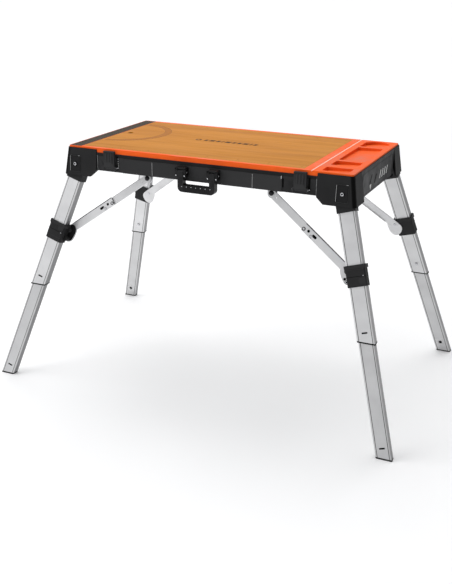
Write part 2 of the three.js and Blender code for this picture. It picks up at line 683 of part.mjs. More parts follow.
addPart(bench, 'base_shell', baseShell(), blackPlastic);
addPart(bench, 'tray_frame', trayFrame(), orangePlastic);
addPart(bench, 'worktop_board', worktopBoard(), boardWood);
addPart(bench, 'grip_strip', gripStrip(), gripGrey);
addPart(bench, 'carry_handle', carryHandle(), blackPlastic);

for (const [name, hand] of [['left', -1], ['right', 1]]) {
  addPart(bench, `handle_bracket_${name}`, handleBracket(hand), blackPlastic);
}

const braceIn = -BRACE_HINGE.in;
const earX = BRACE_EAR.along * Math.sin(SPLAY) - BRACE_EAR.out * Math.cos(SPLAY);
const earZ = -BRACE_EAR.along * Math.cos(SPLAY) - BRACE_EAR.out * Math.sin(SPLAY);
const braceLength = Math.hypot(earX - braceIn, earZ + BRACE_HINGE.down);
const braceAngle = Math.atan2(-(earZ + BRACE_HINGE.down), earX - braceIn);

for (const [name, sideX, sideY] of CORNERS) {
  const inward = -sideX * sideY;
  addPart(bench, `corner_housing_${name}`, cornerHousing(sideX, sideY), blackPlastic);

  const latchSeat = new THREE.Group();
  latchSeat.position.set(sideX * LATCH.x, sideY * LATCH.pivotY, LATCH.pivotZ);
  latchSeat.rotation.z = sideY > 0 ? Math.PI : 0;
  addPart(latchSeat, `latch_${name}`, latch(), blackPlastic);

  const corner = cornerFrame(sideX, sideY);
  addPart(corner, `hinge_pin_${name}`, hingePin(), steel);
  addPart(corner, `brace_bracket_${name}`, braceBracket(inward), steel);

  const leg = new THREE.Group();
  leg.rotation.y = -SPLAY;
  addPart(leg, `leg_knuckle_${name}`, legKnuckle(), blackPlastic);
  addPart(leg, `outer_tube_${name}`, outerTube(inward, sideX, sideY), aluminium);
  addPart(leg, `leg_collar_${name}`, legCollar(inward), blackPlastic);
  addPart(leg, `brace_pin_${name}`, bracePin(inward), steel);
  addPart(leg, `spring_button_${name}`, springButton(inward), steel);
  addPart(leg, `inner_tube_${name}`, innerTube(inward, sideX, sideY), aluminium);
  addPart(leg, `foot_pad_${name}`, footPad(sideX, sideY), rubber);

  const brace = new THREE.Group();
  brace.position.set(braceIn, 0, -BRACE_HINGE.down);
  brace.rotation.y = braceAngle;
  addPart(brace, `upper_link_${name}`, upperLink(inward), aluminium);
  addPart(brace, `lower_link_${name}`, lowerLink(inward, braceLength), aluminium);

  corner.add(leg, brace);
  bench.add(corner, latchSeat);
}

export default bench;
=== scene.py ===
"""Looks for a portable folding work platform bench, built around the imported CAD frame.

The CAD nodes keep their shapes and get procedural finishes. The small parts that CAD leaves out, such as
bolts, rivets, clips, ribs and printed scales, are built here in mesh code and ride on the CAD bodies.
Sizes are in millimetres inside each local frame and in metres in the row frame.
"""

import json
import math

import bmesh
import bpy
from mathutils import Matrix, Quaternion, Vector


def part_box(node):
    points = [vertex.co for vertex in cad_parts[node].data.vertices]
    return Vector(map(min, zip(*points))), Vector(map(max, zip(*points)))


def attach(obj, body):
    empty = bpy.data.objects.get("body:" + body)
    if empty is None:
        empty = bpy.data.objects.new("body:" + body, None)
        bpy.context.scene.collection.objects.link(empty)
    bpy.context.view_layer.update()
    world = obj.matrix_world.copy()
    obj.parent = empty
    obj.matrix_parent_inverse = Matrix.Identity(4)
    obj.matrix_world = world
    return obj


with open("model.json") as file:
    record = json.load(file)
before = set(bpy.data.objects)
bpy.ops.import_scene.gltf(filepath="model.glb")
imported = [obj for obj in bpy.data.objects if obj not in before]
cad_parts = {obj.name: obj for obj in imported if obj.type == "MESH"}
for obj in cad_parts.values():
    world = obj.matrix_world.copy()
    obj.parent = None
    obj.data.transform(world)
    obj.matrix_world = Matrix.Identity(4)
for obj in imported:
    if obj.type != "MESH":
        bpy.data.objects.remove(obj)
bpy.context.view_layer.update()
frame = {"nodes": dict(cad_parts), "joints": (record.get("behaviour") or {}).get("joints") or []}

MM = 0.001
NODES = frame["nodes"]
JOINTS = {joint["name"]: joint for joint in frame["joints"]}
CORNERS = {
    "front_left": (-1, -1),
    "front_right": (1, -1),
    "back_left": (-1, 1),
    "back_right": (1, 1),
}
UP = Vector((0, 0, 1))


# ---- local frames ------------------------------------------------------------------------


def local_frame(origin, x_axis, y_axis):
    """A frame in millimetres at origin, with its x and y axes given."""
    z_axis = x_axis.cross(y_axis)
    turn = Matrix((x_axis, y_axis, z_axis)).transposed().to_4x4()
    return Matrix.Translation(origin) @ turn @ Matrix.Scale(MM, 4)


def flat_frame(x=0, y=0, z=0):
    """The row frame's own axes at a point given in millimetres."""
    return local_frame(Vector((x, y, z)) * MM, Vector((1, 0, 0)), Vector((0, 1, 0)))


def facing_frame(x, y, z):
    """At a point given in millimetres: x to the right, y up, z to the front."""
    return local_frame(Vector((x, y, z)) * MM, Vector((1, 0, 0)), UP)


def hanging_frame(x, y, z):
    """At a point given in millimetres: x to the right, y to the front, z down."""
    return local_frame(Vector((x, y, z)) * MM, Vector((1, 0, 0)), Vector((0, -1, 0)))


def face_frame(node, start, aim):
    """On the CAD face that a line from start (mm) along aim meets: z out of the face, y up it."""
    hit, point, normal, _ = NODES[node].ray_cast(Vector(start) * MM, Vector(aim))
    if not hit:
        raise ValueError(f"no face of {node} lies along {aim} from {start}")
    x_axis = UP.cross(normal).normalized()
    return local_frame(point, x_axis, normal.cross(x_axis))


def joint_point(name):
    return Vector(JOINTS[name]["pos_m"])


def joint_axis(name):
    return Vector(JOINTS[name]["axis"]).normalized()


def leg_frame(corner):
    """At the leg hinge: z up the leg, y along the fold axis, x outwards."""
    up = joint_axis(f"leg_slide_{corner}")
    along = joint_axis(f"leg_fold_{corner}")
    return local_frame(joint_point(f"leg_fold_{corner}"), along.cross(up), along)


def brace_frame(corner):
    """At the upper brace pivot in the leg's fold plane: x down the brace, y along the fold axis."""
    along = joint_axis(f"leg_fold_{corner}")
    hinge = joint_point(f"leg_fold_{corner}")
    upper = joint_point(f"upper_brace_fold_{corner}")
    lower = joint_point(f"lower_brace_fold_{corner}")
    upper += along * along.dot(hinge - upper)
    lower += along * along.dot(hinge - lower)
    return local_frame(upper, (lower - upper).normalized(), along)


def brace_length(corner):
    pivots = [joint_point(f"{end}_brace_fold_{corner}") for end in ("upper", "lower")]
    along = joint_axis(f"leg_fold_{corner}")
    span = pivots[1] - pivots[0]
    return (span - along * along.dot(span)).length / MM


def brace_rise(place):
    """Whether the z axis of a brace frame leans upwards."""
    return place.to_3x3().col[2].z > 0


def inboard(corner):
    """The sign of a leg or brace frame's y that points towards the middle of the bench."""
    side_x, side_y = CORNERS[corner]
    return -side_x * side_y


def side_on(place, inward, offset, x, z):
    """In a leg or brace frame, at x and z and an inboard offset: z out of the fold plane outboard."""
    turn = Matrix.Rotation(math.radians(90 * inward), 4, "X")
    return place @ Matrix.Translation((x, inward * offset, z)) @ turn


# ---- outlines, in millimetres --------------------------------------------------------------


def rectangle(width, height, x=0, y=0):
    half_w, half_h = width / 2, height / 2
    return [(x - half_w, y - half_h), (x + half_w, y - half_h),
            (x + half_w, y + half_h), (x - half_w, y + half_h)]


def rounded(width, height, radius, x=0, y=0, steps=4):
    points = []
    for turn, (side_x, side_y) in enumerate([(1, -1), (1, 1), (-1, 1), (-1, -1)]):
        centre = (x + side_x * (width / 2 - radius), y + side_y * (height / 2 - radius))
        for step in range(steps + 1):
            angle = math.radians(90 * (turn - 1) + 90 * step / steps)
            points.append((centre[0] + radius * math.cos(angle),
                           centre[1] + radius * math.sin(angle)))
    return points


def circle(radius, sides=24, x=0, y=0, start=0.0):
    return [(x + radius * math.cos(start + math.tau * i / sides),
             y + radius * math.sin(start + math.tau * i / sides)) for i in range(sides)]


def hexagon(radius, sides=24):
    """A hexagon with its points spread like those of a circle with as many sides."""
    points = []
    for i in range(sides):
        angle = math.tau * i / sides
        within = (angle + math.pi / 6) % (math.pi / 3) - math.pi / 6
        reach = radius * math.cos(math.pi / 6) / math.cos(within)
        points.append((reach * math.cos(angle), reach * math.sin(angle)))
    return points


# ---- mesh pieces ---------------------------------------------------------------------------


class Piece:
    """Solids drawn in local frames and gathered into one mesh in the row frame."""

    def __init__(self):
        self.bm = bmesh.new()

    def ring(self, place, outline, z):
        return [self.bm.verts.new(place @ Vector((x, y, z))) for x, y in outline]

    def level_ring(self, place, outline, height):
        """An outline carried along the frame's z axis to a height (mm) above the floor."""
        along = place.to_3x3().col[2]
        points = []
        for x, y in outline:
            start = place @ Vector((x, y, 0))
            points.append(self.bm.verts.new(start + along * ((height * MM - start.z) / along.z)))
        return points

    def level_band(self, place, outer, inner, low, high):
        """A ring round the frame's z axis, cut level at two heights above the floor."""
        rings = [self.level_ring(place, outline, z) for outline, z in
                 ((outer, low), (outer, high), (inner, high), (inner, low))]
        return self.close_round(rings)

    def close_round(self, rings):
        """Skins each ring to the next, and the last to the first."""
        for first, second in zip(rings, rings[1:] + rings[:1]):
            self.skin(first, second)
        return self

    def skin(self, first, second):
        count = len(first)
        for i in range(count):
            j = (i + 1) % count
            self.bm.faces.new((first[i], first[j], second[j], second[i]))

    def prism(self, place, outline, low, high):
        """An outline in the frame's x and y, from z = low to z = high."""
        bottom, top = self.ring(place, outline, low), self.ring(place, outline, high)
        self.bm.faces.new(bottom)
        self.bm.faces.new(top)
        self.skin(bottom, top)
        return self

    def tube(self, place, outer, inner, low, high):
        """Like prism, with a hole whose outline has as many points as the outer one."""
        rings = [self.ring(place, outline, z) for outline, z in
                 ((outer, low), (outer, high), (inner, high), (inner, low))]
        return self.close_round(rings)

    def lathe(self, place, profile, steps=20):
        """A profile of (radius, z) from the axis back to the axis, turned about the frame's z."""
        rings = []
        for radius, z in profile:
            if radius == 0:
                rings.append([self.bm.verts.new(place @ Vector((0, 0, z)))])
            else:
                rings.append(self.ring(place, circle(radius, steps), z))
        for first, second in zip(rings, rings[1:]):
            if len(first) == len(second):
                self.skin(first, second)
                continue
            tip, base = sorted((first, second), key=len)
            for i in range(steps):
                self.bm.faces.new((base[i], base[(i + 1) % steps], tip[0]))
        return self

    def sweep(self, place, path, radius, sides=10):
        """A round wire along points in the frame, closed at both ends."""
        points = [Vector(p) for p in path]
        rings = []
        for i, point in enumerate(points):
            ahead = points[min(i + 1, len(points) - 1)] - points[max(i - 1, 0)]
            turn = ahead.to_track_quat("Z", "Y").to_matrix().to_4x4()
            rings.append(self.ring(place @ Matrix.Translation(point) @ turn, circle(radius, sides), 0))
        for first, second in zip(rings, rings[1:]):
            self.skin(first, second)
        self.bm.faces.new(rings[0])
        self.bm.faces.new(rings[-1])
        return self

    def done(self, name, body, finish, slot, bevel=0.0):
        """Makes the object, gives it its finish and lets it ride on its body."""
        bmesh.ops.recalc_face_normals(self.bm, faces=self.bm.faces)
        mesh = bpy.data.meshes.new(name)
        self.bm.to_mesh(mesh)
        self.bm.free()
        thing = bpy.data.objects.new(name, mesh)
        bpy.context.scene.collection.objects.link(thing)
        mesh.materials.append(finish)
        soften(thing, bevel)
        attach(thing, body)
        return thing


CREASE = math.radians(32)
WELD_GAP = 0.002


def soften(thing, bevel):
    """Smooth shading with crisp, slightly rounded edges."""
    for polygon in thing.data.polygons:
        polygon.use_smooth = True
    if bevel:
        rounding = thing.modifiers.new("rounded_edges", "BEVEL")
        rounding.width = bevel * MM
        rounding.segments = 2
        rounding.limit_method = "ANGLE"
        rounding.angle_limit = CREASE
        rounding.use_clamp_overlap = True
        weights = thing.modifiers.new("face_weights", "WEIGHTED_NORMAL")
        weights.weight = 100
    else:
        thing.data.set_sharp_from_angle(angle=CREASE)


def dress(node, finish, bevel):
    """Gives a CAD node its finish and rounds its edges for the light, without touching its mesh."""
    thing = NODES[node]
    if "custom_normal" in thing.data.attributes:
        thing.data.attributes.remove(thing.data.attributes["custom_normal"])
    thing.data.materials.clear()
    thing.data.materials.append(finish)
    weld = thing.modifiers.new("shared_corners", "WELD")
    weld.merge_threshold = WELD_GAP * MM
    soften(thing, bevel)


# ---- finishes ------------------------------------------------------------------------------


class Finish:
    """A procedural material: noise in the object's own coordinates drives colour, gloss and bump."""

    def __init__(self, name, roughness, metallic=0.0, place=None, specular=0.5):
        self.material = bpy.data.materials.new(name)
        self.material.use_nodes = True
        self.tree = self.material.node_tree
        self.shader = self.tree.nodes["Principled BSDF"]
        self.shader.inputs["Metallic"].default_value = metallic
        self.shader.inputs["Roughness"].default_value = roughness
        self.shader.inputs["Specular IOR Level"].default_value = specular
        self.where = self.tree.nodes.new("ShaderNodeTexCoord").outputs["Object"]
        if place is not None:
            mapping = self.tree.nodes.new("ShaderNodeMapping")
            mapping.vector_type = "TEXTURE"
            mapping.inputs["Location"].default_value = place.to_translation()
            mapping.inputs["Rotation"].default_value = place.to_3x3().normalized().to_euler()
            self.tree.links.new(self.where, mapping.inputs["Vector"])
            self.where = mapping.outputs["Vector"]

    def _math(self, operation, first, second):
        node = self.tree.nodes.new("ShaderNodeMath")
        node.operation = operation
        for socket, value in zip(node.inputs, (first, second)):
            if isinstance(value, bpy.types.NodeSocket):
                self.tree.links.new(value, socket)
            else:
                socket.default_value = value
        return node.outputs[0]

    def add(self, first, second):
        return self._math("ADD", first, second)

    def times(self, first, second):
        return self._math("MULTIPLY", first, second)

    def noise(self, scale, detail=3.0, stretch=(1, 1, 1), distortion=0.0):
        """Noise with scale features a metre, and fewer along an axis whose stretch is under 1."""
        mapping = self.tree.nodes.new("ShaderNodeMapping")
        mapping.inputs["Scale"].default_value = stretch
        self.tree.links.new(self.where, mapping.inputs["Vector"])
        node = self.tree.nodes.new("ShaderNodeTexNoise")
        node.inputs["Scale"].default_value = scale
        node.inputs["Detail"].default_value = detail
        node.inputs["Distortion"].default_value = distortion
        self.tree.links.new(mapping.outputs["Vector"], node.inputs["Vector"])
        return node.outputs["Fac"]

    def cells(self, scale):
        node = self.tree.nodes.new("ShaderNodeTexVoronoi")
        node.inputs["Scale"].default_value = scale
        self.tree.links.new(self.where, node.inputs["Vector"])
        return node.outputs["Distance"]

    def edges(self):
        """1 on worn convex edges and 0 elsewhere."""
        node = self.tree.nodes.new("ShaderNodeNewGeometry")
        return self.span(node.outputs["Pointiness"], 0.5, 0.58, 0.0, 1.0)

    def reach(self):
        """The distance from the plane x = 0, in metres."""
        parts = self.tree.nodes.new("ShaderNodeSeparateXYZ")
        self.tree.links.new(self.where, parts.inputs["Vector"])
        return self._math("ABSOLUTE", parts.outputs["X"], 0)

    def stripe(self, x, width):
        """1 at the given x and its mirror image, fading to 0 at 0.6 of the width to each side (mm)."""
        offset = self._math("SUBTRACT", self.reach(), x * MM)
        return self.span(self._math("ABSOLUTE", offset, 0), width * 0.3 * MM, width * 0.6 * MM, 1.0, 0.0)

    def beyond(self, x):
        """1 further out than the given x and its mirror image (mm), and 0 between them."""
        return self.span(self.reach(), (x - 0.1) * MM, (x + 0.1) * MM, 0.0, 1.0)

    def span(self, value, low, high, out_low, out_high):
        node = self.tree.nodes.new("ShaderNodeMapRange")
        self.tree.links.new(value, node.inputs["Value"])
        for name, number in (("From Min", low), ("From Max", high),
                             ("To Min", out_low), ("To Max", out_high)):
            node.inputs[name].default_value = number
        return node.outputs["Result"]

    def ramp(self, value, *stops):
        node = self.tree.nodes.new("ShaderNodeValToRGB")
        elements = node.color_ramp.elements
        for _ in range(len(stops) - 2):
            elements.new(0.5)
        for element, (position, color) in zip(elements, stops):
            element.position = position
            element.color = (*color, 1.0)
        self.tree.links.new(value, node.inputs["Fac"])
        return node.outputs["Color"]

    def blend(self, factor, first, second):
        node = self.tree.nodes.new("ShaderNodeMix")
        node.data_type = "RGBA"
        self.tree.links.new(factor, node.inputs["Factor"])
        for socket, value in ((node.inputs[6], first), (node.inputs[7], second)):
            if isinstance(value, bpy.types.NodeSocket):
                self.tree.links.new(value, socket)
            else:
                socket.default_value = (*value, 1.0)
        return node.outputs[2]

    def color(self, socket):
        self.tree.links.new(socket, self.shader.inputs["Base Color"])
        return self

    def gloss(self, socket):
        self.tree.links.new(socket, self.shader.inputs["Roughness"])
        return self

    def bump(self, height, depth):
        """Height from 0 to 1 over a depth in millimetres."""
        node = self.tree.nodes.new("ShaderNodeBump")
        node.inputs["Strength"].default_value = 1.0
        node.inputs["Distance"].default_value = depth * MM
        self.tree.links.new(height, node.inputs["Height"])
        self.tree.links.new(node.outputs["Normal"], self.shader.inputs["Normal"])
        return self


def shade(color, factor):
    return tuple(min(1.0, channel * factor) for channel in color)


def moulded(name, color, roughness, grain=0.05, wear=1.6, specular=0.35):
    """Injection-moulded plastic: fine spark-eroded texture, faint flow marks, rubbed edges."""
    finish = Finish(name, roughness, specular=specular)
    flow = finish.noise(14, 4)
    body = finish.ramp(flow, (0.3, shade(color, 0.86)), (0.7, shade(color, 1.14)))
    finish.color(finish.blend(finish.edges(), body, shade(color, wear)))
    texture = finish.noise(1500, 2)
    finish.gloss(finish.add(finish.times(texture, 0.16), finish.times(flow, 2 * (roughness - 0.08))))
    return finish.bump(texture, grain).material


def wood_board():
    """A sealed board with long grain along X, darker growth bands and short pores."""
    finish = Finish("board_wood", 0.5, specular=0.02)
    bands = finish.noise(20, 3, (0.1, 1, 1), 0.8)
    fibres = finish.noise(260, 4, (0.025, 1, 1), 0.2)
    pores = finish.noise(520, 2, (0.06, 1, 1))
    warm = finish.ramp(bands, (0.32, (0.46, 0.175, 0.020)), (0.5, (0.525, 0.208, 0.025)),
                       (0.7, (0.58, 0.238, 0.032)))
    streaked = finish.blend(finish.span(fibres, 0.45, 0.75, 0.0, 0.4), warm, (0.37, 0.135, 0.022))
    finish.color(finish.blend(finish.span(pores, 0.62, 0.76, 0.0, 0.4), streaked, (0.22, 0.08, 0.015)))
    finish.gloss(finish.span(fibres, 0.3, 0.7, 0.36, 0.52))
    return finish.bump(finish.add(finish.times(fibres, 0.6), finish.times(pores, -0.4)), 0.12).material


def grit(name, color):
    """Anti-slip strip: coarse grains in a dark binder, with paler grains among them."""
    finish = Finish(name, 0.85, specular=0.05)
    grains = finish.cells(620)
    speckle = finish.noise(900, 2)
    tone = finish.ramp(speckle, (0.38, shade(color, 0.62)), (0.52, color), (0.66, shade(color, 1.9)))
    finish.color(tone)
    finish.gloss(finish.span(speckle, 0.3, 0.7, 0.7, 0.95))
    return finish.bump(grains, 0.35).material


def extruded(name, place, flute=None, half=None, tone=1.0):
    """Satin aluminium with draw lines along the frame's z axis.

    Painted shade darkens the flutes at x = -flute and flute, and painted shade darkens the sides past x =
    -half and half.
    """
    finish = Finish(name, 0.42, 0.72, place)
    lines = finish.noise(700, 3, (1, 1, 0.012))
    cloud = finish.noise(16, 3)
    marks = finish.noise(120, 5, (1, 1, 0.3))
    grey, pale = shade((0.66, 0.66, 0.665), tone), shade((0.74, 0.74, 0.745), tone)
    base = finish.ramp(cloud, (0.3, grey), (0.7, pale))
    dull = finish.span(marks, 0.62, 0.8, 0.0, 0.3)
    color = finish.blend(dull, base, (0.5, 0.5, 0.51))
    if flute is not None:
        # painted shade in the flutes
        color = finish.blend(finish.stripe(flute, 1.9), color, (0.045, 0.045, 0.045))
    if half is not None:
        # painted shade on the narrow sides
        color = finish.blend(finish.beyond(half - 0.35), color, (0.26, 0.26, 0.265))
    finish.color(color)
    finish.gloss(finish.add(finish.span(lines, 0.3, 0.7, 0.36, 0.5), finish.times(dull, 0.3)))
    return finish.bump(lines, 0.02).material


def plated(name, color, roughness):
    """Zinc-plated or blackened steel with faint blotches."""
    finish = Finish(name, roughness, 1.0)
    blotch = finish.noise(160, 4)
    finish.color(finish.ramp(blotch, (0.3, shade(color, 0.8)), (0.7, shade(color, 1.12))))
    finish.gloss(finish.span(blotch, 0.3, 0.7, roughness - 0.08, roughness + 0.12))
    return finish.bump(finish.noise(1400, 2), 0.015).material


def printed(name, color):
    """Screen-printed ink that lets a little of the grain through."""
    finish = Finish(name, 0.55, specular=0.04)
    worn = finish.noise(420, 3, (0.2, 1, 1))
    finish.color(finish.ramp(worn, (0.35, color), (0.8, shade(color, 1.35))))
    finish.gloss(finish.span(worn, 0.3, 0.7, 0.45, 0.62))
    return finish.bump(worn, 0.02).material


def rubber(name):
    finish = Finish(name, 0.8)
    dust = finish.noise(90, 4)
    finish.color(finish.ramp(dust, (0.35, (0.010, 0.010, 0.010)), (0.8, (0.030, 0.030, 0.029))))
    finish.gloss(finish.span(dust, 0.3, 0.7, 0.7, 0.9))
    return finish.bump(finish.noise(1100, 2), 0.05).material


BLACK = moulded("black_plastic", (0.0245, 0.0245, 0.025), 0.5, specular=0.05)
# Black plastic parts, and flat patches of painted shade in slots, sockets, holes and gaps.
DEEP_BLACK_AND_SHADE = moulded("deep_black_plastic_and_painted_shade", (0.002, 0.002, 0.002), 0.7, specular=0.05)
# Painted shade for the hinge plate recesses and the band under the rim, and the dark layer on the front
# left end plate.
SHADED = moulded("painted_shade_black", (0.0095, 0.0095, 0.0098), 0.5, specular=0.08)
GRIP_BLACK = moulded("grip_black_plastic", (0.0075, 0.0075, 0.0078), 0.42, 0.12, 2.2, 0.12)
# Pale black that paints highlights on edges, seams and ribs.
PAINTED_HIGHLIGHT = moulded("painted_highlight_black", (0.24, 0.24, 0.24), 0.4, specular=0.3)
BAND = printed("scale_band", (0.36, 0.135, 0.022))
ORANGE = moulded("orange_plastic", (0.83, 0.112, 0.016), 0.45, 0.03, 1.1, 0.05)
# Pale orange that paints the highlight in the saw groove.
GROOVE_HIGHLIGHT = moulded("groove_highlight_paint", (0.93, 0.44, 0.30), 0.25, 0.01, 1.05)
WOOD = wood_board()
STRIP = grit("grip_strip", (0.066, 0.056, 0.045))
STEEL = plated("steel", (0.62, 0.62, 0.64), 0.26)
DARK_STEEL = plated("blackened_steel", (0.035, 0.035, 0.037), 0.38)
RUBBER = rubber("foot_rubber")
INK = printed("board_ink", (0.035, 0.018, 0.008))
SCALE_INK = printed("scale_ink", (0.20, 0.085, 0.022))
PALE_INK = printed("pale_ink", (0.55, 0.55, 0.54))


# ---- the CAD nodes -------------------------------------------------------------------------

OUTER_FLUTE, INNER_FLUTE = 19.6, 17.15
OUTER_HALF, INNER_HALF = 25.6, 23.15
HOUSING_EDGE = 2.2
EDGE_FOOT, EDGE_HEAD, EDGE_BAND = (480.5, 258.5, 669), (468.4, 249.6, 755), 5.5
SHELL_EDGE = 0.9
FINE_EDGE = 0.5


def dress_top():
    dress("base_shell", BLACK, SHELL_EDGE)
    dress("tray_frame", ORANGE, 1.3)
    dress("worktop_board", WOOD, FINE_EDGE)
    dress("grip_strip", STRIP, FINE_EDGE)
    dress("carry_handle", GRIP_BLACK, 1.6)
    for side in ("left", "right"):
        dress(f"handle_bracket_{side}", GRIP_BLACK, 1.0)


def housing_finish(corner):
    """Black plastic with painted shade down the rounded outer edge, which leans with the housing."""
    side_x, side_y = CORNERS[corner]
    foot = Vector((side_x * EDGE_FOOT[0], side_y * EDGE_FOOT[1], EDGE_FOOT[2])) * MM
    head = Vector((side_x * EDGE_HEAD[0], side_y * EDGE_HEAD[1], EDGE_HEAD[2])) * MM
    rise = (head - foot).normalized()
    across = (Vector((1, 0, 0)) - rise * rise.x).normalized()
    finish = Finish(f"black_housing_{corner}", 0.5, place=local_frame(foot, across, rise.cross(across)),
                    specular=0.05)
    flow = finish.noise(14, 4)
    body = finish.ramp(flow, (0.3, (0.020, 0.020, 0.0205)), (0.7, (0.026, 0.026, 0.0265)))
    # painted shade down the rounded outer edge
    finish.color(finish.blend(finish.stripe(EDGE_BAND, 12), body, (0.003, 0.003, 0.003)))
    texture = finish.noise(1500, 2)
    finish.gloss(finish.span(texture, 0.3, 0.7, 0.42, 0.58))
    return finish.bump(texture, 0.05).material


def dress_corner(corner):
    leg = leg_frame(corner)
    outer_leg = extruded(f"aluminium_outer_{corner}", leg, OUTER_FLUTE, OUTER_HALF)
    inner_leg = extruded(f"aluminium_inner_{corner}", leg, INNER_FLUTE, INNER_HALF, 0.86)
    brace_turn = Matrix.Rotation(math.radians(90), 4, "Y")
    along_brace = extruded(f"aluminium_brace_{corner}", brace_frame(corner) @ brace_turn)
    looks = {
        "corner_housing": (housing_finish(corner), HOUSING_EDGE),
        "latch": (BLACK, 0.8),
        "hinge_pin": (STEEL, FINE_EDGE),
        "brace_bracket": (STEEL, FINE_EDGE),
        "leg_knuckle": (BLACK, 1.0),
        "outer_tube": (outer_leg, 0.25),
        "leg_collar": (BLACK, 1.0),
        "brace_pin": (STEEL, 0.4),
        "spring_button": (STEEL, 0.8),
        "inner_tube": (inner_leg, 0.25),
        "foot_pad": (RUBBER, FINE_EDGE),
        "upper_link": (along_brace, 0.6),
        "lower_link": (along_brace, FINE_EDGE),
    }
    for stem, (finish, bevel) in looks.items():
        dress(f"{stem}_{corner}", finish, bevel)


# ---- fasteners, drawn with z out of the surface ----------------------------------------------


def dome_profile(radius, height, base=-0.6):
    """A rivet's low dome, from the axis below the surface out to its rim and over the top."""
    rim = height * 0.35
    arc = [(radius * math.cos(a), rim + (height - rim) * math.sin(a))
           for a in (math.radians(d) for d in (0, 25, 50, 72))]
    return [(0, base), (radius, base), *arc, (0, height)]


def socket_bolt(steel, dark, place, radius, height):
    """A chamfered bolt head with a hexagon socket filled with painted shade, on a dark washer."""
    dark.tube(place, circle(radius * 1.3), circle(radius * 0.8), -0.4, 1.0)
    low, high = 0.9, height
    steel.tube(place, circle(radius), hexagon(radius * 0.6), low, high - 0.8)
    steel.tube(place, circle(radius * 0.88), hexagon(radius * 0.6), high - 0.9, high)
    # painted shade at the bottom of the socket
    dark.prism(place, hexagon(radius * 0.62), low, high - 1.2)


# ---- corner and wall details -----------------------------------------------------------------


PLATE_PROBE = 14
OUTSIDE_SIDE, OUTSIDE_END = 400, 700
LATCH_PIN_OUT = 23.9
STUD = {"x": 466.5, "z": 673.4}
FLOOR_UNDERSIDE = 739.0


def on_wall(side_y, x, z):
    """On the outside of the front or back wall, at x and z: z out of the wall, y up it."""
    return face_frame("base_shell", (x, side_y * OUTSIDE_SIDE, z), (0, -side_y, 0))


def hinge_plate(corner):
    """The framed plate and socket bolt over the outer end of a leg hinge, with painted shade in its
    recess and down one side, and painted highlights down the other side and at the top.
    """
    side_x, side_y = CORNERS[corner]
    hinge = joint_point(f"leg_fold_{corner}") / MM
    # The pin's hole comes out of the face here, so the face is felt for beside it.
    start = (hinge.x - side_x * PLATE_PROBE, side_y * OUTSIDE_SIDE, hinge.z + 4.4)
    place = face_frame(f"corner_housing_{corner}", start, (0, -side_y, 0))
    place = place @ Matrix.Translation((-side_x * side_y * (PLATE_PROBE + 2), 0, 0))
    plate, edge, steel, dark = Piece(), Piece(), Piece(), Piece()
    plate.tube(place, rounded(37, 52, 3, y=1), rounded(33, 48, 2, y=1), -0.5, 1.5)
    # painted shade fills the plate's recess
    recess = Piece().prism(place, rounded(32, 47, 2, y=1), -0.3, 0.25)
    recess.done(f"hinge_recess_shade_{corner}", "table", SHADED, "black_plastic")
    left = -1 if side_y < 0 else 1
    # pale lines of painted highlight down one side and across the top
    edge.prism(place, rectangle(1.1, 47, x=left * 18, y=1), 1.2, 1.65)
    edge.prism(place, rectangle(6, 1.1, x=-left * 13, y=26), 1.2, 1.65)
    # a line of painted shade down the other side
    dark.prism(place, rectangle(1.6, 47, x=-left * 16, y=1), -0.5, 0.7)
    socket_bolt(steel, dark, place @ Matrix.Translation((0, 0, 0.6)), 5.0, 4.2)
    plate.done(f"hinge_plate_{corner}", "table", BLACK, "black_plastic", 0.5)
    edge.done(f"hinge_plate_edge_highlight_{corner}", "table", PAINTED_HIGHLIGHT, "black_plastic", 0.2)
    steel.done(f"hinge_bolt_{corner}", "table", STEEL, "steel", 0.25)
    dark.done(f"hinge_washer_and_shade_{corner}", "table", DEEP_BLACK_AND_SHADE, "black_plastic")


def housing_seam_highlight(corner):
    """A pale line of painted highlight where the long wall meets a housing."""
    side_x, side_y = CORNERS[corner]
    seam = Piece().prism(on_wall(side_y, side_x * 359.6, 715), rectangle(1.0, 46), -0.5, 0.6)
    seam.done(f"housing_seam_highlight_{corner}", "table", PAINTED_HIGHLIGHT, "black_plastic", 0.2)


def latch_pins(corner):
    """The steel pin ends that show beside a latch."""
    pivot = joint_point(f"latch_swing_{corner}") / MM
    pins = Piece()
    for hand in (-1, 1):
        end = Vector((pivot.x + hand * LATCH_PIN_OUT, pivot.y, pivot.z))
        place = local_frame(end * MM, Vector((0, hand, 0)), UP)
        pins.lathe(place, dome_profile(2.6, 1.6), 16)
    pins.done(f"latch_pin_{corner}", f"latch_{corner}", STEEL, "steel")


